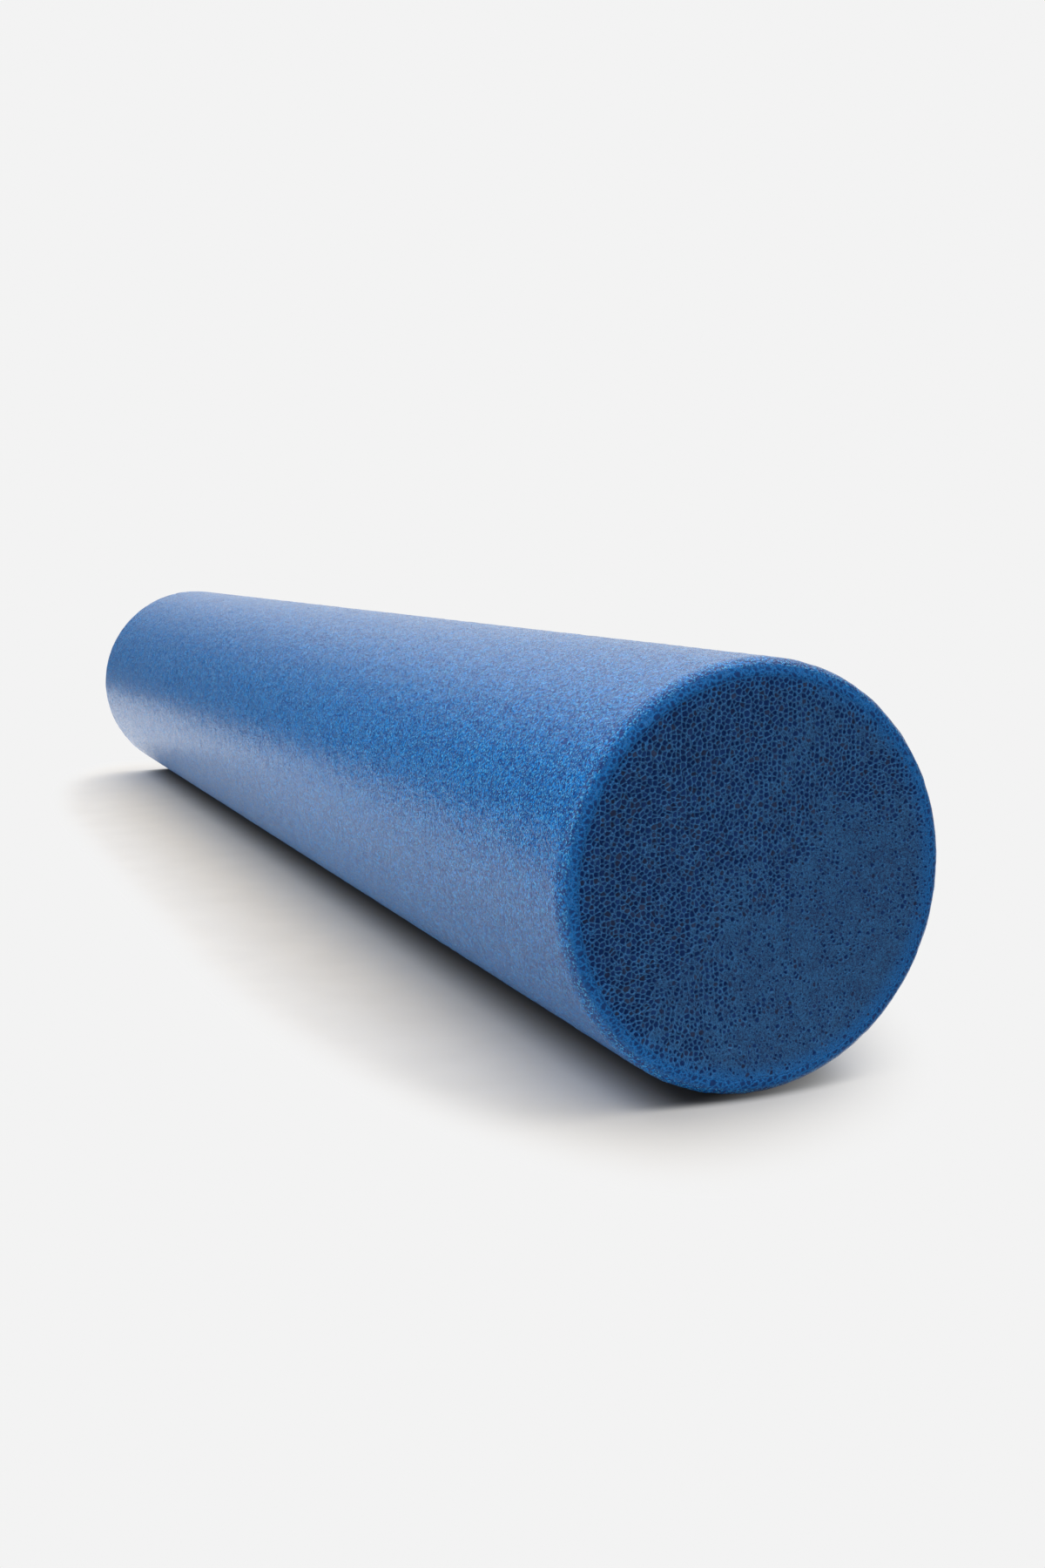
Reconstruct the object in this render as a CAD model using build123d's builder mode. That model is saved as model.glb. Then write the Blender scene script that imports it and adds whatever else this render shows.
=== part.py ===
"""A solid round foam roller, lying on its side.

It is one extruded log of polyethylene foam, cut square to length. Two layers can be told
apart in it: a cellular core, whose cut cells show on both ends, and the dense closed skin
that formed against the die. The skin wraps the whole length and rolls over the rounded
edge of each end, where it stops as a thin lip round the core's end face.

Frame, in millimetres: the roller's axis lies along Y at the height of its radius, the floor
is Z = 0, and the origin is on the floor line half way along the roller.
"""

import os

from build123d import *

# Driving dimensions
length = 900.0  # from cut end to cut end
diameter = 150.0  # over the skin
edge_radius = 6.0  # rounding of the skin at each end
skin_thickness = 1.5  # dense outer layer, part of the diameter

# Worked out from them
outer_radius = diameter / 2
half_length = length / 2
lip_radius = outer_radius - edge_radius  # the skin stops here on each end face
shoulder = half_length - edge_radius  # the straight wall ends here, where the rounding starts

# Sections are drawn in the YZ plane with the roller's axis as their own first axis, so that a
# point (along, out) lies that far along the roller and that far out from its centre line.
section_plane = Plane(origin=(0, 0, outer_radius), x_dir=(0, 1, 0), z_dir=(1, 0, 0))
near_end_plane = Plane(origin=(0, -half_length, outer_radius), z_dir=(0, 1, 0))
roller_axis = Axis((0, 0, outer_radius), (0, 1, 0))


def half_section(depth):
    """Half a closed section of the roller whose wall lies this far under the outer surface.

    With a depth of 0 it is the whole roller. With the skin's thickness it is the body of foam
    inside the skin, whose corners follow the same rounding, one thickness further in.
    """
    wall = outer_radius - depth
    corner = edge_radius - depth
    end = half_length - depth
    with BuildSketch(section_plane) as section:
        with BuildLine():
            Line((-end, 0), (-end, lip_radius))
            RadiusArc((-end, lip_radius), (-shoulder, wall), corner)
            Line((-shoulder, wall), (shoulder, wall))
            RadiusArc((shoulder, wall), (end, lip_radius), corner)
            Line((end, lip_radius), (end, 0))
            Line((end, 0), (-end, 0))
        make_face()
    return section.sketch


# The solid log of foam: the body inside the skin, run out to both end faces within the lips
with BuildPart() as foam_core:
    add(half_section(depth=skin_thickness))
    revolve(axis=roller_axis)
    with BuildSketch(near_end_plane):
        Circle(lip_radius)
    extrude(amount=length)
foam_core.part.label = "foam_core"

# The dense skin: the whole roller less the core that fills it
with BuildPart() as outer_skin:
    add(half_section(depth=0))
    revolve(axis=roller_axis)
    add(foam_core.part, mode=Mode.SUBTRACT)
outer_skin.part.label = "outer_skin"

os.makedirs("parts", exist_ok=True)
export_step(foam_core.part, "parts/foam_core.step")
export_step(outer_skin.part, "parts/outer_skin.step")

for name, piece in (("foam_core", foam_core.part), ("outer_skin", outer_skin.part)):
    print(name, round(piece.volume / 1e6, 3), "litres, valid:", piece.is_valid)
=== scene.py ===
# %% [markdown]
# # A solid foam roller
#
# A foam roller is a log of closed-cell polyethylene foam, pushed through a round die and cut square
# to length. The foam that touched the die set first, as a dense satin skin with an orange-peel
# surface. Behind the skin the gas had time to grow bubbles, and the saw cut through them at both
# ends, so each end is a field of small open cells. This lesson builds both layers as surfaces worked
# out with numpy, gives them node materials, and sets them on a pale floor in soft studio light.

# %% [markdown]
# ## The fixed frame
#
# Its two nodes are the foam core and the outer skin. They are exact but smooth, so each will be
# replaced by a piece with a real surface.

import bpy
import numpy as np
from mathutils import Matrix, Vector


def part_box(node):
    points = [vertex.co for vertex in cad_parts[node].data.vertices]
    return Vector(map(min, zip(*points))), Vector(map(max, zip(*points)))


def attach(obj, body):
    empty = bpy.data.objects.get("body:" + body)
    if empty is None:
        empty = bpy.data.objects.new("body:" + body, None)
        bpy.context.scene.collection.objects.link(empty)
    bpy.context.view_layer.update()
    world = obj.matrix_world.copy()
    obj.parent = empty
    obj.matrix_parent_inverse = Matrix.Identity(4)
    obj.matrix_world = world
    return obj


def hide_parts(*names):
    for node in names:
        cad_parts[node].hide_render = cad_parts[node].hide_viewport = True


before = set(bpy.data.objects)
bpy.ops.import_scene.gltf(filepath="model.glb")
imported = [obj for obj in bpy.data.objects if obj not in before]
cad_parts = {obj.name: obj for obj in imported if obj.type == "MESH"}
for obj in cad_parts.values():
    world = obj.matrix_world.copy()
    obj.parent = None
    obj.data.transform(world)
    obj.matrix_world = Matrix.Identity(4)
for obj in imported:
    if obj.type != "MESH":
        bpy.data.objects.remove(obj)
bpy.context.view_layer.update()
print("CAD nodes:", sorted(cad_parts))

# %% Read the roller's sizes from the nodes
MM = 0.001
skin_low, skin_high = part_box("outer_skin")
core_low, core_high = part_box("foam_core")

half_length = (skin_high.y - skin_low.y) / 2
outer_radius = (skin_high.z - skin_low.z) / 2
axis_height = (skin_high.z + skin_low.z) / 2

core_corners = np.array([corner.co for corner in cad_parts["foam_core"].data.vertices])
from_axis = np.hypot(core_corners[:, 0], core_corners[:, 2] - axis_height)
core_radius = from_axis.max()
lip_radius = from_axis[core_corners[:, 1] < core_low.y + 0.01 * MM].max()
skin_thickness = outer_radius - core_radius
edge_radius = outer_radius - lip_radius
print("half length", round(half_length / MM, 1), "radius", round(outer_radius / MM, 1),
      "skin", round(skin_thickness / MM, 2), "edge rounding", round(edge_radius / MM, 2), "mm")

# %% [markdown]
# ## The camera
#
# The camera comes first, because it decides how fine each surface has to be. It stands a hand above
# the roller and close to its near end, on the left, so the near end looms and the far end shrinks.
# The camera is tipped down only a little, and its shift lowers the frame instead, which keeps upright
# lines upright.

# %% Place the camera
CAMERA_LEFT = 287.5 * MM  # from the roller's centre line
CAMERA_IN_FRONT = 456.4 * MM  # of the near end
CAMERA_HEIGHT = 186.4 * MM  # above the floor
TURNED_RIGHT, TIPPED_DOWN = np.radians(23.57), np.radians(4.36)

camera = bpy.data.objects.new("camera", bpy.data.cameras.new("camera"))
bpy.context.scene.collection.objects.link(camera)
bpy.context.scene.camera = camera
camera.location = (-CAMERA_LEFT, skin_low.y - CAMERA_IN_FRONT, CAMERA_HEIGHT)
camera.rotation_euler = (np.pi / 2 - TIPPED_DOWN, 0, -TURNED_RIGHT)
camera.data.sensor_width = 36.0
camera.data.lens = 36.79
camera.data.shift_y = -0.0726
camera.data.clip_start = 0.01
print("camera at", [round(x, 3) for x in camera.location])

# %% [markdown]
# ## Relief from waves
#
# Foam is never smooth: the skin swells a little over each bubble behind it. Such relief could be
# painted on with a bump map alone, but then the outline would stay a perfect circle. So the coarse
# part of it goes into the mesh. It is the sum of many flat waves that run through space in random
# directions. Space has no seam, so neither has the relief, wherever the surface closes on itself.

# %% A relief of random waves
def wave_relief(points, wavelength, seed, waves=48):
    """Smooth random relief of unit strength at points, an array whose last axis is x, y, z.

    It is the sum of cosines of (direction · point × 2π / wavelength + phase), each with its own
    random direction, phase and a wavelength within a third of the stated one, scaled so that its
    standard deviation is 1.
    """
    random = np.random.default_rng(seed)
    directions = random.normal(size=(waves, 3))
    directions /= np.linalg.norm(directions, axis=1, keepdims=True)
    lengths = wavelength * random.uniform(0.67, 1.33, waves)
    phases = random.uniform(0, 2 * np.pi, waves)
    relief = np.zeros(points.shape[:-1])
    for direction, length, phase in zip(directions, lengths, phases):
        relief += np.cos(points @ direction * (2 * np.pi / length) + phase)
    return relief * np.sqrt(2 / waves)


# %% How far the skin stands in or out
SWELL = 0.05 * MM  # over groups of bubbles
DIMPLE = 0.035 * MM  # over single bubbles


def skin_relief(points):
    """How far the skin stands out at points: waves of 11 mm for the swells and of 4.5 mm for the
    dimples, each times its own strength."""
    swells = wave_relief(points, 11 * MM, seed=3)
    dimples = wave_relief(points, 4.5 * MM, seed=4)
    return SWELL * swells + DIMPLE * dimples


# %% [markdown]
# ## From arrays to meshes
#
# Both pieces are grids of points. A quad joins four neighbours, and a closed direction joins the last
# row to the first. Blender takes whole arrays through `foreach_set`, which is far quicker than a loop
# over vertices, and each piece brings a map of its own, laid flat without overlaps, so that its
# patterns can be baked.

# %% Make a mesh from arrays
def mesh_piece(name, points, quads, map_places, marks):
    """A shaded piece from its points (n, 3), its quads (m, 4), the places of their corners on the
    flat map (m, 4, 2), and its marks: named arrays of one number per point."""
    mesh = bpy.data.meshes.new(name)
    mesh.vertices.add(len(points))
    mesh.vertices.foreach_set("co", points.astype(np.float32).ravel())
    mesh.loops.add(quads.size)
    mesh.loops.foreach_set("vertex_index", quads.astype(np.int32).ravel())
    mesh.polygons.add(len(quads))
    mesh.polygons.foreach_set("loop_start", np.arange(0, quads.size, 4, dtype=np.int32))
    mesh.polygons.foreach_set("use_smooth", np.ones(len(quads), dtype=bool))
    flat_map = mesh.uv_layers.new(name="OFBake")
    flat_map.data.foreach_set("uv", map_places.astype(np.float32).ravel())
    for label, numbers in marks.items():
        mesh.attributes.new(label, "FLOAT", "POINT").data.foreach_set("value", numbers.astype(np.float32))
    mesh.update(calc_edges=True)
    mesh.validate()
    piece = bpy.data.objects.new(name, mesh)
    bpy.context.scene.collection.objects.link(piece)
    print(name, "has", len(points), "points and", 2 * len(quads), "triangles")
    return piece


def quad_corners(grid):
    """What stands at the four corners of each quad of a grid, the way round that makes the quads
    face out when rows run along the roller and columns run round it. The grid holds point numbers
    (rows, columns) or places (rows, columns, 2)."""
    here, right = grid[:, :-1], grid[:, 1:]
    corners = np.stack([here[:-1], right[:-1], right[1:], here[1:]], axis=2)
    return corners.reshape(-1, 4, *grid.shape[2:])


def map_patch(left, bottom, width, height, rows, columns):
    """The places of a grid's points on the flat map, spread evenly over a patch of it."""
    across = np.linspace(left, left + width, rows)
    up = np.linspace(bottom, bottom + height, columns)
    return np.stack(np.meshgrid(across, up, indexing="ij"), axis=-1)


# %% [markdown]
# ## The skin
#
# The skin is 1.5 mm of dense foam. It runs the whole length, rolls over the rounded edge at each end
# and stops as a thin lip on the end face. It could be a tube with a Solidify modifier, but its lips
# taper into the end faces, so its section is drawn instead: once along the outside, then back along
# the inside. Carried round the axis, that closed line becomes a closed shell. Only the outside gets
# relief, because the inside lies against the core.

# %% Draw the skin's section
WALL_STEP, ROUNDING_STEPS, ROUND_STEPS = 1.8 * MM, 16, 512
shoulder = half_length - edge_radius
inner_edge = edge_radius - skin_thickness


def quarter_turn(along, start, end, radius, steps):
    """Points (along, out) on an arc of the radius whose centre is at (along, lip radius), from one
    angle to another in degrees. An angle of 0 points along the roller and 90 points outwards."""
    angle = np.radians(np.linspace(start, end, steps + 1))
    return np.stack([along + radius * np.cos(angle), lip_radius + radius * np.sin(angle)], axis=1)


def straight_wall(start, end, out, step):
    """Points (along, out) of a wall between two arcs, without the arcs' own ends."""
    count = int(np.ceil(abs(end - start) / step))
    along = np.linspace(start, end, count + 1)[1:-1]
    return np.stack([along, np.full_like(along, out)], axis=1)


skin_outside = np.concatenate([
    quarter_turn(-shoulder, 180, 90, edge_radius, ROUNDING_STEPS),
    straight_wall(-shoulder, shoulder, outer_radius, WALL_STEP),
    quarter_turn(shoulder, 90, 0, edge_radius, ROUNDING_STEPS),
])
skin_inside = np.concatenate([
    quarter_turn(shoulder, 0, 90, inner_edge, 4),
    straight_wall(shoulder, -shoulder, core_radius, 60 * MM),
    quarter_turn(-shoulder, 90, 180, inner_edge, 4),
])
print("section of", len(skin_outside), "points outside and", len(skin_inside), "inside")

# %% Carry the section round the axis
def round_the_axis(section, angles):
    """The grid that a section (along, out) sweeps: x = out · sin(angle), y = along and
    z = axis height + out · cos(angle), a row for each section point, a column for each angle."""
    along, out = section[:, :1], section[:, 1:]
    return np.stack([
        out * np.sin(angles),
        along + 0 * angles,
        axis_height + out * np.cos(angles),
    ], axis=-1)


def outward(section):
    """The outward direction (along, out) of a section at each point, square to the line through its
    two neighbours. The two ends lie on the end faces, so there it points straight along."""
    line = np.gradient(section, axis=0)
    normal = np.stack([-line[:, 1], line[:, 0]], axis=1)
    normal[0], normal[-1] = (-1, 0), (1, 0)
    return normal / np.linalg.norm(normal, axis=1, keepdims=True)


def make_skin():
    """The closed shell of the skin, with relief on its outside. Its mark, lip, goes from 0 on the
    wall to 1 at the end of the rounding."""
    angles = np.linspace(0, 2 * np.pi, ROUND_STEPS, endpoint=False)
    smooth = round_the_axis(skin_outside, angles)
    ways = round_the_axis(outward(skin_outside), angles) - (0, 0, axis_height)
    outside = smooth + ways * skin_relief(smooth)[..., None]
    points = np.concatenate([outside, round_the_axis(skin_inside, angles)])

    rows = len(points)
    numbers = np.arange(rows * ROUND_STEPS).reshape(rows, ROUND_STEPS)
    quads = quad_corners(np.pad(numbers, ((0, 1), (0, 1)), mode="wrap"))
    outer_map = map_patch(0.005, 0.005, 0.965, 0.99, len(outside), ROUND_STEPS + 1)
    inner_map = map_patch(0.975, 0.005, 0.02, 0.99, rows - len(outside) + 1, ROUND_STEPS + 1)
    places = quad_corners(np.concatenate([outer_map, inner_map]))

    turned = np.abs(outward(np.concatenate([skin_outside, skin_inside]))[:, 0])
    lip = np.repeat(np.degrees(np.arcsin(np.clip(turned, 0, 1))) / 90, ROUND_STEPS)
    return points.reshape(-1, 3), quads, places, {"lip": lip}


skin = mesh_piece("skin", *make_skin())

# %% [markdown]
# ## The cut cells
#
# Where the saw passed, every bubble became a small cup with a thin rim. Seen from the end they tile
# the face with rounded polygons, no two alike. That is a Voronoi pattern whose seeds have sizes as
# well as places. Blender has such a texture, but here the cups are real hollows that have to match
# their colours, so the pattern is worked out for every point of a fine grid.

# %% Sow the seeds and find the cells
def sow_seeds(pitch, random):
    """The seeds of a face's cells: their places (n, n, 2), one in each square of a grid of the pitch
    whose every other column stands half a square higher, moved at random within its square, and the
    square of each one's size (n, n)."""
    count = int(np.ceil(2 * lip_radius / pitch)) + 8
    corners = (np.arange(count) - count // 2) * pitch
    squares = np.stack(np.meshgrid(corners, corners, indexing="ij"), axis=-1)
    seeds = squares + pitch * random.uniform(0.12, 0.88, squares.shape)
    seeds[::2, :, 1] += pitch / 2
    return seeds, pitch**2 * random.uniform(0, 0.25, (count, count))


def find_cells(points, pitch, seeds, sizes_squared):
    """Which cell each point (..., 2) is in, as its seed's two numbers (..., 2), how far it is from
    the cell's nearest wall and in which direction, and how far it is from the seed.

    A point is in the cell of the seed with the least (distance squared - size squared). The wall
    between two cells is a straight line, and a point's distance from it is the difference of those
    two numbers over twice the distance between the two seeds.
    """
    square = np.floor(points / pitch).astype(int) + len(seeds) // 2
    neighbours = [np.array([i, j]) for i in range(-2, 3) for j in range(-2, 3)]

    def look_at(step):
        i, j = np.moveaxis(square + step, -1, 0)
        return seeds[i, j], ((points - seeds[i, j]) ** 2).sum(-1) - sizes_squared[i, j]

    own, own_seed = np.zeros_like(square), np.zeros_like(points)
    least = np.full(square.shape[:-1], np.inf)
    for step in neighbours:
        seed, power = look_at(step)
        nearer = power < least
        own = np.where(nearer[..., None], square + step, own)
        own_seed = np.where(nearer[..., None], seed, own_seed)
        least = np.where(nearer, power, least)
    wall, way = np.full_like(least, np.inf), np.zeros_like(points)
    for step in neighbours:
        seed, power = look_at(step)
        apart = np.linalg.norm(seed - own_seed, axis=-1)
        away = np.where(apart > 0, (power - least) / np.maximum(2 * apart, 1e-12), np.inf)
        nearer = away < wall
        wall = np.where(nearer, away, wall)
        way = np.where(nearer[..., None], (seed - own_seed) / np.maximum(apart, 1e-12)[..., None], way)
    return own, wall, way, np.linalg.norm(points - own_seed, axis=-1)


def eased(value, low, high):
    """0 below low, 1 above high and a smooth S between them."""
    t = np.clip((value - low) / (high - low), 0, 1)
    return t * t * (3 - 2 * t)


# %% [markdown]
# ## The end faces
#
# A blade never cuts foam evenly. On one side it slices the bubbles cleanly and leaves open cups with
# pale rims. Further on it drags, so more and more cups stay shut under a film, and those that are
# open shrink to pits. Each cell is dealt its own lot: a random number against the openness of the
# face at its seed says whether it is open, and others say how deep it is and how wide its rim.

# %% Deal out the cells of a face
CELL_PITCH, GRAIN_PITCH = 1.85 * MM, 0.90 * MM  # from one cell, or one grain, to the next


def openness(places, end):
    """From 0 where the blade smeared the face to 1 where it cut cleanly, at places (..., 2). It is
    a slope across the face towards the clean side, raised a little towards the rim and made uneven
    by two sizes of waves."""
    across, up = np.moveaxis(places, -1, 0)
    spots = np.stack([across, np.full_like(across, end * half_length), up], axis=-1)
    patchy = 0.16 * wave_relief(spots, 30 * MM, seed=40 + end)
    patchy += 0.08 * wave_relief(spots, 8 * MM, seed=50 + end)
    slope = (-0.80 * across + 0.60 * up) / lip_radius
    near_rim = eased(np.hypot(across, up), 0.25 * lip_radius, 0.95 * lip_radius)
    return eased(slope + patchy + 0.25 * near_rim, -0.95, 0.90)


def deal_cells(seeds, end, random):
    """What each cell is dealt: how far its cup's edge lies from its wall, the most that the cup may
    reach from the seed, how deep it is, how open it is, and a tone from 0 to 1 for its colour."""
    clean = openness(seeds, end)
    lots = random.uniform(size=(4, *clean.shape))
    inset = MM * (0.14 - 0.09 * clean) * (0.7 + 0.6 * lots[0])
    reach = MM * (0.72 + 0.55 * clean) * (0.65 + 0.7 * lots[1])
    shown = eased(lots[2], 0.68 - 0.85 * clean, 0.80 - 0.85 * clean) * 0.85 + 0.15 * clean
    depth = MM * (0.60 + 0.15 * clean) * (0.5 + lots[3])
    return inset, reach, depth, shown, clean, random.uniform(size=clean.shape)


# %% Work out an end face
FACE_STEPS = 400
CUP_SIDE = 0.36 * MM  # how far inside its edge a cup reaches its full depth
RIM_REACH, RIM_HEIGHT = 0.19 * MM, 0.08 * MM  # of the pale rim, to each side of a cup's edge
GRAIN_SIDE, GRAIN_DEPTH = 0.40 * MM, 0.20 * MM  # of a pit in the grain between the cups
DENSE_AND_LIT_BAND, PLAIN_BAND, JOIN_BAND = 7 * MM, 1.0 * MM, 1.2 * MM  # rings inside the lip


def in_space(flat, along):
    """The places (x, y, z) of flat places (..., 2) on a face that lies at along: x is the first
    number, y is along, and z is the second number above the axis height."""
    return np.stack([flat[..., 0], along + 0 * flat[..., 0], axis_height + flat[..., 1]], axis=-1)


def end_face(flat, end):
    """The relief of a cut end at flat places (n, n, 2): the places after a small move, how far the
    face lies below its plane there, and its marks. end is -1 for the near end and 1 for the far one.

    Points within less than half a step of a wall are moved onto it, which keeps thin walls sharp.
    A cup's depth goes by a smooth S from its edge inwards. The foam between the cups has a fine
    grain. Next to the skin all of it fades out, and the face takes the skin's own relief there, so
    that the two pieces meet without a step.
    """
    random = np.random.default_rng(20 + end)
    seeds, sizes_squared = sow_seeds(CELL_PITCH, random)
    lots = deal_cells(seeds, end, random)
    own, wall, way, from_seed = find_cells(flat, CELL_PITCH, seeds, sizes_squared)
    radius = np.linalg.norm(flat, axis=-1)
    near_wall = wall < 0.42 * (2 * lip_radius / FACE_STEPS)
    moved = near_wall & (radius < lip_radius - PLAIN_BAND)
    flat = flat + np.where(moved, wall, 0)[..., None] * way
    wall = np.where(moved, 0, wall)

    inset, reach, depth, shown, clean, tone = (lot[own[..., 0], own[..., 1]] for lot in lots)
    # Next to the skin the colour turns a stronger blue: partly denser foam, partly painted light that
    # shines in through the edge.
    dense_and_lit_through = eased(radius, lip_radius - DENSE_AND_LIT_BAND, lip_radius)
    cellular = 1 - eased(radius, lip_radius - PLAIN_BAND, lip_radius)
    inside = np.minimum(wall - inset, reach - from_seed)
    pit = shown * eased(inside, 0, CUP_SIDE) * cellular
    rim = (1 - eased(np.abs(inside), 0, RIM_REACH)) * cellular
    rim *= 0.35 + 0.65 * np.maximum(clean, shown)

    fine_seeds, fine_sizes = sow_seeds(GRAIN_PITCH, random)
    fine_tone = random.uniform(size=fine_sizes.shape)
    fine_own, fine_wall, _, _ = find_cells(flat, GRAIN_PITCH, fine_seeds, fine_sizes)
    grain = eased(fine_wall, 0, GRAIN_SIDE) * fine_tone[fine_own[..., 0], fine_own[..., 1]]

    joined = eased(radius, lip_radius - JOIN_BAND, lip_radius)
    below = depth * pit - RIM_HEIGHT * rim + GRAIN_DEPTH * grain * (1 - pit)
    below = below * (1 - joined) - skin_relief(in_space(flat, end * half_length)) * joined
    marks = {"pit": pit, "rim": rim, "tone": tone, "grain": grain, "dense_and_lit_through": dense_and_lit_through}
    return flat, below, marks


# %% [markdown]
# ## The core
#
# A disc made of rings crowds its points at the middle and starves its edge. A square grid bent into a
# disc keeps every patch nearly the same size, so the cups are as sharp at the rim as at the middle.
# The same grid makes both ends, and a plain wall, hidden under the skin, joins their outlines.

# %% Bend a square into a disc
def square_to_disc(steps):
    """A square grid of places bent into the disc of the end face, with the same area for each patch.
    With a and b from -1 to 1, a point's distance from the middle is the larger of |a| and |b|, and
    its angle from the nearest side's middle is an eighth turn times the smaller over the larger."""
    a, b = np.meshgrid(np.linspace(-1, 1, steps + 1), np.linspace(-1, 1, steps + 1), indexing="ij")
    nearer_side = np.abs(a) > np.abs(b)
    reach = np.where(nearer_side, a, b)
    turn = np.pi / 4 * np.where(nearer_side, b, a) / np.where(reach == 0, 1, reach)
    straight, aside = lip_radius * reach * np.cos(turn), lip_radius * reach * np.sin(turn)
    return np.stack([np.where(nearer_side, straight, aside), np.where(nearer_side, aside, straight)], -1)


def outline(grid):
    """The numbers on the edge of a square grid of them, clockwise as seen from the near end."""
    return np.concatenate([grid[0, :-1], grid[:-1, -1], grid[-1, :0:-1], grid[:0:-1, 0]])


# %% Make the core
def make_core():
    """The closed log of the core: two faces with relief and the wall between their outlines."""
    flat = square_to_disc(FACE_STEPS)
    numbers = np.arange(flat[..., 0].size).reshape(flat.shape[:2])
    patch = map_patch(0, 0, 0.48, 0.94, FACE_STEPS + 1, FACE_STEPS + 1)
    points, quads, places, marks = [], [], [], []
    for count, end in enumerate((-1, 1)):
        moved, below, face_marks = end_face(flat, end)
        points.append(in_space(moved, end * (half_length - below)).reshape(-1, 3))
        turned = slice(None, None, end)
        quads.append(quad_corners(numbers + count * numbers.size)[:, turned])
        places.append(quad_corners(patch + (0.01 + 0.5 * count, 0.055))[:, turned])
        marks.append(face_marks)

    section = np.concatenate([
        quarter_turn(-shoulder, 180, 90, inner_edge, 4),
        straight_wall(-shoulder, shoulder, core_radius, 150 * MM),
        quarter_turn(shoulder, 90, 0, inner_edge, 4),
    ])
    edge = outline(numbers)
    rim = points[0][edge]
    rings = round_the_axis(section, np.arctan2(rim[:, 0], rim[:, 2] - axis_height))
    ring_numbers = 2 * numbers.size + np.arange(rings[..., 0].size).reshape(rings.shape[:2])
    rows = np.concatenate([edge[None], ring_numbers, edge[None] + numbers.size])
    rows = np.pad(rows, ((0, 0), (0, 1)), mode="wrap")
    points.append(rings.reshape(-1, 3))
    quads.append(quad_corners(rows))
    strip = map_patch(0.005, 0.005, 0.04, 0.99, *rows.shape)[..., ::-1]
    places.append(quad_corners(strip))
    marks.append({label: np.zeros(rings[..., 0].size) for label in marks[0]})

    marks = {label: np.concatenate([part[label].ravel() for part in marks]) for label in marks[0]}
    return np.concatenate(points), np.concatenate(quads), np.concatenate(places), marks


core = mesh_piece("core", *make_core())

# %% [markdown]
# ## Do the faces point outwards?
#
# The volume under a closed mesh comes out positive only when its faces point outwards, so the volume
# is the quickest test of the order of the corners. It should also be close to the volume of the foam.

# %% Measure the volumes
def litres_in(piece):
    """The signed volume of a closed quad mesh: the sum over its triangles of a · (b × c) / 6."""
    numbers = np.empty(3 * len(piece.data.vertices), np.float32)
    piece.data.vertices.foreach_get("co", numbers)
    corners = np.empty(len(piece.data.loops), np.int32)
    piece.data.loops.foreach_get("vertex_index", corners)
    a, b, c, d = numbers.reshape(-1, 3).astype(float)[corners.reshape(-1, 4)].transpose(1, 0, 2)
    volume = np.einsum("ij,ij", a, np.cross(b, c)) + np.einsum("ij,ij", a, np.cross(c, d))
    return volume / 6 * 1000


print("skin", round(litres_in(skin), 2), "litres, core", round(litres_in(core), 2), "litres")

# %% [markdown]
# ## Writing materials as sums
#
# A node material is arithmetic on colours and numbers. The class below wraps one output socket, so
# that `1 - pit` or `rim * tone` adds the Math nodes by itself. Every other kind of node comes from
# its one method, `add`.

# %% A socket that takes part in sums
class Wire:
    """One output socket in a node tree. Sums on it add Math nodes."""

    def __init__(self, tree, socket=None):
        self.tree, self.socket = tree, socket

    def add(self, kind, settings=None, inputs=None, output=0):
        """Adds a node of a kind, with its settings first and then the values or wires of its
        inputs, and returns a wire from one of its outputs."""
        node = self.tree.nodes.new("ShaderNode" + kind)
        for name, value in (settings or {}).items():
            setattr(node, name, value)
        for name, value in (inputs or {}).items():
            if isinstance(value, Wire):
                self.tree.links.new(value.socket, node.inputs[name])
            else:
                node.inputs[name].default_value = value
        return Wire(self.tree, node.outputs[output])

    def maths(self, operation, *values):
        return self.add("Math", {"operation": operation}, dict(enumerate(values)))

    def __add__(self, other):
        return self.maths("ADD", self, other)

    def __sub__(self, other):
        return self.maths("SUBTRACT", self, other)

    def __rsub__(self, other):
        return self.maths("SUBTRACT", other, self)

    def __mul__(self, other):
        return self.maths("MULTIPLY", self, other)

    __radd__, __rmul__ = __add__, __mul__

    def eased(self, low, high):
        """0 below low, 1 above high and a smooth S between them."""
        return self.add("MapRange", {"interpolation_type": "SMOOTHSTEP"},
                        {"Value": self, "From Min": low, "From Max": high})

    def blend(self, first, second):
        """A colour that goes from first to second as this wire goes from 0 to 1."""
        return self.add("Mix", {"data_type": "RGBA"}, {"Factor": self, 6: first, 7: second}, output=2)

    def mark(self, label):
        """The numbers of one of the piece's marks."""
        return self.add("Attribute", {"attribute_name": label}, output="Fac")

    def noise(self, place, pitch, detail=1.0):
        """Soft noise from about 0.3 to 0.7, whose blobs are a pitch apart."""
        return self.add("TexNoise", {}, {"Vector": place, "Scale": 1 / pitch, "Detail": detail})


def new_material(name):
    """A material with a Principled shader: returns it, its shader and a wire to build from."""
    material = bpy.data.materials.new(name)
    material.use_nodes = True
    return material, material.node_tree.nodes["Principled BSDF"], Wire(material.node_tree)


def connect(wire, socket):
    wire.tree.links.new(wire.socket, socket)


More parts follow.
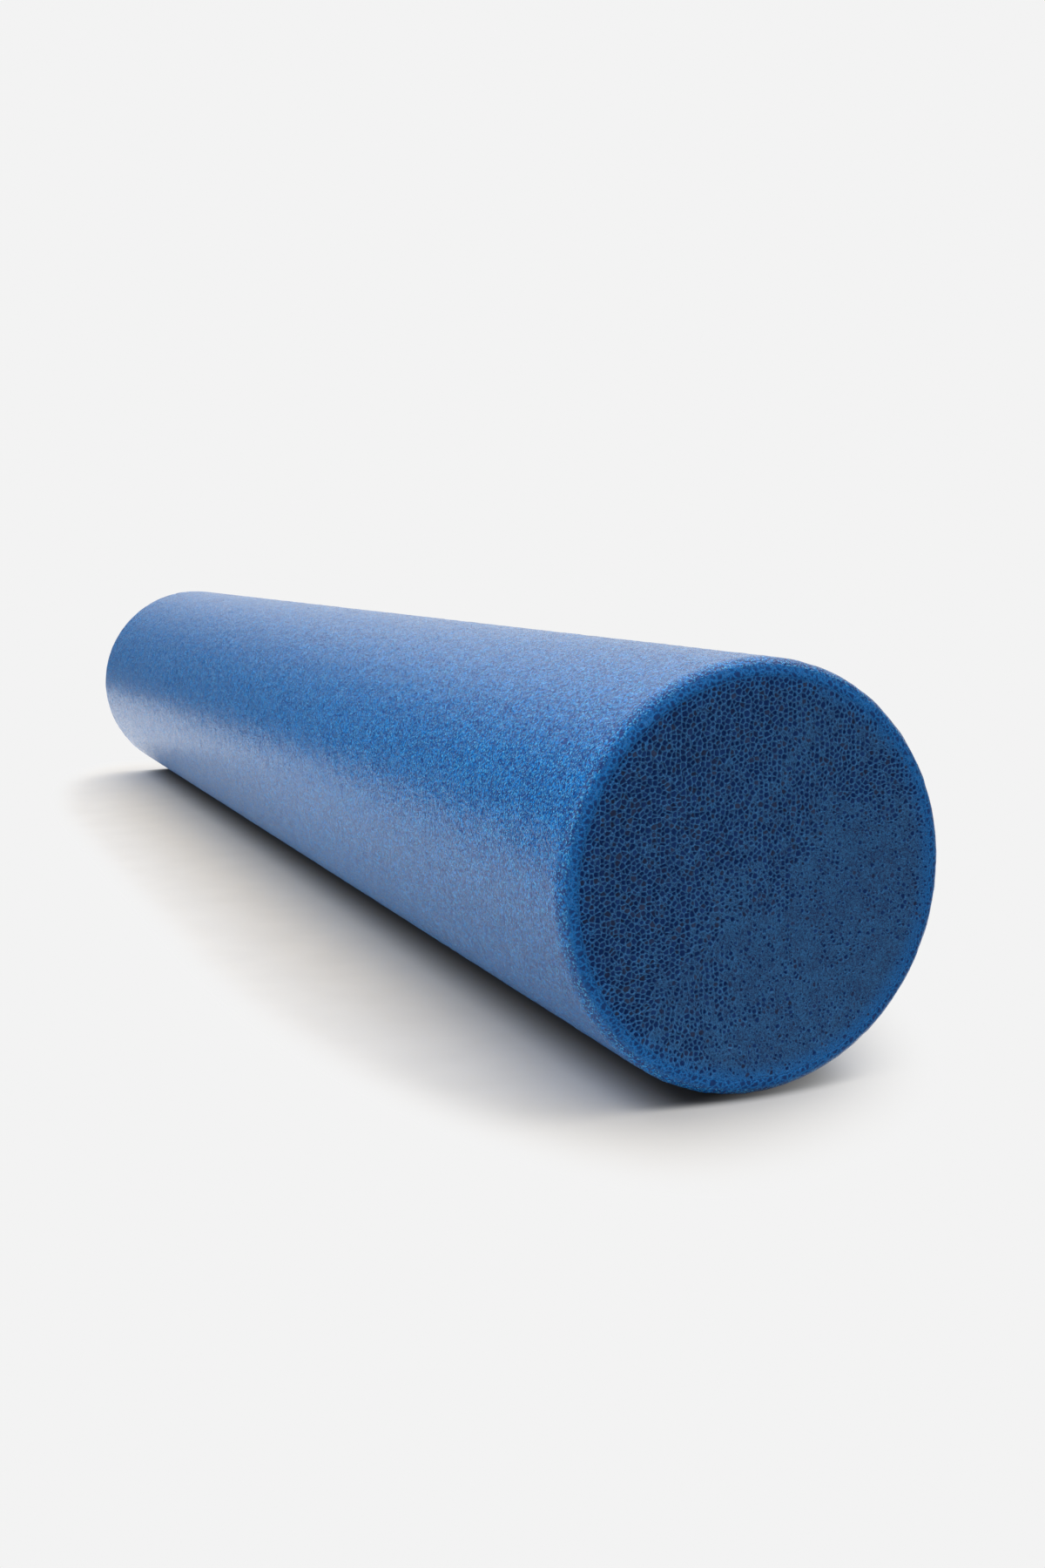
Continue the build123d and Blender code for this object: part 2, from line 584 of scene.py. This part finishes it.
# %% [markdown]
# ## The skin's finish
#
# The skin is coloured through with blue masterbatch. It has a satin shine, broken by orange peel: low
# domes, and over them ripples that run round the roller and catch a glint here and there. All of it
# is too small to be worth geometry. Rounded Voronoi cells and noise drive a Bump, the colour and the
# roughness together, so that high spots are glossier. The colour is also paler on the high spots, as
# painted highlight, and darker in the low spots, as painted shade, and the glints are painted as bright
# flecks over a small bump. Round the edge the skin was trimmed with the foam. There it is matte, and
# cut cells begin to show as a pattern in the colour, with painted shade in their cups, which carries
# the pattern of the end face out over the rounding.

# %% Finish the skin
DOME_PITCH, RIPPLE_PITCH, FLECK_PITCH = 1.4 * MM, 1.1 * MM, 0.8 * MM
TRIMMED_CELL_PITCH = 2.1 * MM


def trimmed_finish(start, place, speck):
    """The colour of the trimmed edge: a speckled blue, with pale walls between cups where the rounding
    turns into the end face. The skin has no hollows there, so the cups' dark is painted shade."""
    wall = start.add("TexVoronoi", {"feature": "DISTANCE_TO_EDGE"},
                     {"Vector": place, "Scale": 1 / TRIMMED_CELL_PITCH})
    showing = start.mark("lip").eased(0.50, 0.80)
    plain = speck.eased(0.38, 0.62).blend((0.002, 0.105, 0.42, 1), (0.007, 0.260, 0.79, 1))
    walled = ((1 - wall.eased(0.0, 0.09)) * showing * 0.6).blend(plain, (0.060, 0.31, 0.78, 1))
    # Far from the walls the colour turns dark: painted shade in the cups.
    return (wall.eased(0.11, 0.26) * showing * 0.90).blend(walled, (0.004, 0.050, 0.230, 1))


def skin_finish():
    """Satin blue skin with orange peel, painted highlight, shade and glints in its colour, and matte and
    cellular round the edge.
    """
    material, shader, start = new_material("satin blue skin")
    place = start.add("TexCoord", output="Object")
    lip = start.mark("lip").eased(0.52, 0.76)
    dome = 1 - start.add("TexVoronoi", {"feature": "SMOOTH_F1"},
                         {"Vector": place, "Scale": 1 / DOME_PITCH, "Smoothness": 0.3})
    squeezed = start.add("VectorMath", {"operation": "MULTIPLY"}, {0: place, 1: (1, 1.7, 1)})
    ripple = start.noise(squeezed, RIPPLE_PITCH, detail=2.0)
    fleck_with_painted_glint = start.noise(squeezed, FLECK_PITCH).eased(0.57, 0.63)
    speck = start.noise(place, 0.5 * MM)
    mottle = start.noise(place, 5 * MM, detail=3.0).eased(0.38, 0.62)

    # The colour is paler where the peel stands high, as painted highlight, and darker in its low spots,
    # as painted shade.
    high = (dome * 0.30 + ripple * 0.70).eased(0.44, 0.58)
    satin = mottle.blend((0.003, 0.165, 0.54, 1), (0.005, 0.260, 0.80, 1))
    satin = high.blend((0.001, 0.055, 0.27, 1), satin)
    # The bright flecks are painted glints; the same flecks are also a small bump.
    satin = fleck_with_painted_glint.blend(satin, (0.090, 0.52, 1.0, 1))
    connect(lip.blend(satin, trimmed_finish(start, place, speck)), shader.inputs["Base Color"])

    gloss = (dome * 0.35 + ripple * 0.65).eased(0.36, 0.50)
    connect(0.36 - gloss * 0.20 + lip * 0.55, shader.inputs["Roughness"])
    height = (dome * 0.15 + ripple * 0.45 + fleck_with_painted_glint * 0.12) * (1 - lip * 0.6) + speck * 0.06
    bump = start.add("Bump", {}, {"Height": height, "Distance": 0.8 * MM})
    connect(bump, shader.inputs["Normal"])
    shader.inputs["Specular IOR Level"].default_value = 0.36
    return material


skin.data.materials.append(skin_finish())
print("skin finish of", len(skin.data.materials[0].node_tree.nodes), "nodes")

# %% [markdown]
# ## The finish of the cut foam
#
# The cut foam is matte. Little light comes back out of an open cup, so its colour is painted a deep
# navy, as painted shade over the shade that the hollow casts itself; a cup with a high tone is painted
# a greyer dark blue instead. The films round the cups scatter light and look pale. Next to the skin the
# blue grows stronger, partly as denser foam and partly as painted light that shines in through the edge.
# The marks that came with the mesh say where all of these are, so the colours fit the hollows exactly.
# Noise could stain the face as well, but it wouldn't know where the cups are.

# %% Finish the core
def core_finish():
    """Matte cut foam: pale films round cups whose dark is painted shade, and next to the skin a stronger
    blue, partly denser foam and partly painted light that shines in through the edge.
    """
    material, shader, start = new_material("cut blue foam")
    place = start.add("TexCoord", output="Object")
    labels = ("pit", "rim", "tone", "dense_and_lit_through", "grain")
    pit, rim, tone, dense_and_lit_through, grain = (start.mark(label) for label in labels)
    speck = start.noise(place, 0.45 * MM).eased(0.38, 0.62)
    blotch = start.noise(place, 1.2 * MM, detail=2.0).eased(0.35, 0.65)
    patch = start.noise(place, 7 * MM, detail=2.0).eased(0.30, 0.70)

    dark = speck * 0.55 + blotch * 0.45 + patch * 0.25 + grain * 0.10 - 0.05
    face = dark.blend((0.054, 0.275, 0.66, 1), (0.001, 0.024, 0.13, 1))
    face = (tone * 0.25).blend(face, (0.035, 0.095, 0.24, 1))
    # Next to the skin the blue is stronger: partly denser foam, partly painted light that shines in
    # through the edge.
    edge = (speck * 0.7 + blotch * 0.3).blend((0.022, 0.285, 0.80, 1), (0.003, 0.080, 0.34, 1))
    face = dense_and_lit_through.blend(face, edge)
    face = (rim * (0.50 + speck * 0.50)).blend(face, (0.100, 0.38, 0.88, 1))
    # The cups' deep navy, greyer in cups with a high tone, is painted shade over the shade of the real
    # hollows.
    cup = tone.eased(0.62, 0.98).blend((0.007, 0.068, 0.290, 1), (0.052, 0.085, 0.205, 1))
    face = pit.eased(0.25, 0.85).blend(face, cup)
    connect(face, shader.inputs["Base Color"])
    shader.inputs["Roughness"].default_value = 0.6
    shader.inputs["Specular IOR Level"].default_value = 0.3
    height = start.noise(place, 0.45 * MM, detail=2.0)
    connect(start.add("Bump", {}, {"Height": height, "Distance": 0.30 * MM}), shader.inputs["Normal"])
    return material


core.data.materials.append(core_finish())
print("core finish of", len(core.data.materials[0].node_tree.nodes), "nodes")

# %% Hand the pieces to the frame
for piece, node, slot in ((skin, "outer_skin", "skin_foam"), (core, "foam_core", "core_foam")):
    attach(piece, "root")
    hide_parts(node)

# %% [markdown]
# ## The floor
#
# The roller lies on a large flat square of white paper. Near the roller the paper is a matte surface,
# which takes the roller's shadow. Along the line that the roller touches its colour is painted dark
# grey, a painted contact shadow, and close to the roller it is painted warmer, which cancels the blue
# light that the roller throws into its shadow. Further off it turns into a plain glow as bright as
# unshaded paper, so that there is no horizon. Paper that
# glowed as much in all directions would flood the roller with light from below. So the glow asks what
# kind of ray has met it: it gives the camera its full brightness, diffuse light little, and mirrors
# more close by and less far off, as paper in a pool of light does.

# %% Measure from the roller's footprint
def footprint(start, along, across):
    """Two distances from the roller's footprint, in metres, at floor places along and across it.

    The first is from the middle of the strip that it shades, a line 45 mm to its left and 188 mm
    long to each side of its middle. The way across counts half on that line's right, and the way
    along past its ends counts 0.3 times. The second is from the line that the roller touches, and the
    way along past its ends counts four times. Each is the root of the sum of the two ways' squares.
    """
    beyond = start.maths("ABSOLUTE", along)
    leftward = -0.045 - across
    side = start.maths("MAXIMUM", leftward, leftward * -0.51)
    past_middle = start.maths("MAXIMUM", beyond - 0.188, 0.0) * 0.30
    past_end = start.maths("MAXIMUM", beyond - 0.442, 0.0) * 4
    from_strip = start.maths("SQRT", side * side + past_middle * past_middle)
    from_line = start.maths("SQRT", across * across + past_end * past_end)
    return from_strip, from_line


# %% Lay the floor
PAPER_WHITE = 0.896  # how bright the paper looks where nothing shades it
PAPER_REACH = 12.0  # from its middle to its edges, in metres


def paper_finish():
    """Paper that is matte near the roller, with a painted contact shadow and painted warmer near it, and
    glows further off.
    """
    material = bpy.data.materials.new("white paper")
    material.use_nodes = True
    material.node_tree.nodes.clear()
    start = Wire(material.node_tree)
    place = start.add("TexCoord", output="Object")
    across, along = (start.add("SeparateXYZ", {}, {0: place}, output=axis) for axis in "XY")
    from_strip, from_line = footprint(start, along, across)

    fibres = start.noise(place, 30 * MM, detail=8.0).eased(0.25, 0.75) * 0.03
    warm = fibres.blend((0.99, 0.90, 0.775, 1), (0, 0, 0, 1))
    neutral = fibres.blend((0.97, 0.925, 0.86, 1), (0, 0, 0, 1))
    # Close to the roller the paper is painted warmer, which cancels the blue light that the roller throws
    # into its shadow.
    colour = from_strip.eased(0.030, 0.085).blend(warm, neutral)
    # A painted contact shadow: dark grey along the line that the roller touches.
    colour = from_line.eased(0.022, 0.052).blend((0.10, 0.10, 0.10, 1), colour)
    matte = start.add("BsdfDiffuse", {}, {"Color": colour})

    lighting = start.add("LightPath", output="Is Diffuse Ray")
    mirrored = start.add("LightPath", output="Is Glossy Ray")
    far = from_strip.eased(0.22, 0.40)
    strength = PAPER_WHITE * (1 - lighting * 0.85 + mirrored * (0.50 - far * 1.20))
    glow = start.add("Emission", {}, {"Strength": strength})
    both = start.add("MixShader", {}, {0: from_strip.eased(0.077, 0.100), 1: matte, 2: glow})
    output = material.node_tree.nodes.new("ShaderNodeOutputMaterial")
    connect(both, output.inputs["Surface"])
    return material


def make_floor():
    """A large square of paper at the height of the floor."""
    mesh = bpy.data.meshes.new("floor")
    corners = PAPER_REACH * np.array([(-1, -1, 0), (1, -1, 0), (1, 1, 0), (-1, 1, 0)])
    mesh.from_pydata(corners.tolist(), [], [(0, 1, 2, 3)])
    mesh.materials.append(paper_finish())
    floor = bpy.data.objects.new("floor", mesh)
    bpy.context.scene.collection.objects.link(floor)
    print("paper", 2 * PAPER_REACH, "m square")


make_floor()

# %% [markdown]
# ## The light
#
# A wide soft light hangs over the roller, a little behind it and to its right. A backdrop stands
# behind it, a window on its left, and a weak light in front of it for the cut face. The rest of the
# room is dim. The satin skin mirrors the soft light as its pale upper flank, the dim room as the dark
# band below that, and the white paper as its pale lower flank. Lamps could do this, but here each
# light is drawn on the world as a function of direction alone, because its place and softness in the
# mirror image are then plain numbers. The camera itself sees the same white as the paper.

# %% Light the studio
def make_studio():
    """The room that lights the roller and is mirrored in it.

    Each light is a soft disc on the sky. A sum of shares of x, y and z is greatest towards the middle
    of the disc, and it is eased to 1 from the disc's rim inwards. The four are then added, each times
    its own brightness, with the overhead light in front of the others.
    """
    world = bpy.data.worlds.new("studio")
    bpy.context.scene.world = world
    world.use_nodes = True
    world.node_tree.nodes.clear()
    start = Wire(world.node_tree)
    direction = start.add("TexCoord", output="Generated")
    x, y, z = (start.add("SeparateXYZ", {}, {0: direction}, output=axis) for axis in "XYZ")

    overhead = (0.12 * x + 0.33 * y + z).eased(0.64, 0.87)
    backdrop = (0.55 * x + 0.83 * y).eased(0.72, 0.92)
    window = (0.30 * z - 0.95 * x - 0.05 * y).eased(0.84, 0.95)
    front = (0.60 * z - 0.80 * y).eased(0.50, 0.95)
    lower = backdrop * 0.85 + window * 2.0 + front * 0.30
    level = 0.05 + overhead * 1.75 + lower * (1 - overhead)
    seen = start.add("LightPath", output="Is Camera Ray")
    level = level * (1 - seen) + PAPER_WHITE * seen
    glow = start.add("Background", {}, {"Color": (1, 1, 1, 1), "Strength": level})
    output = world.node_tree.nodes.new("ShaderNodeOutputWorld")
    connect(glow, output.inputs["Surface"])
    print("studio of", len(world.node_tree.nodes), "nodes")


make_studio()
bpy.context.scene.view_settings.view_transform = "Standard"
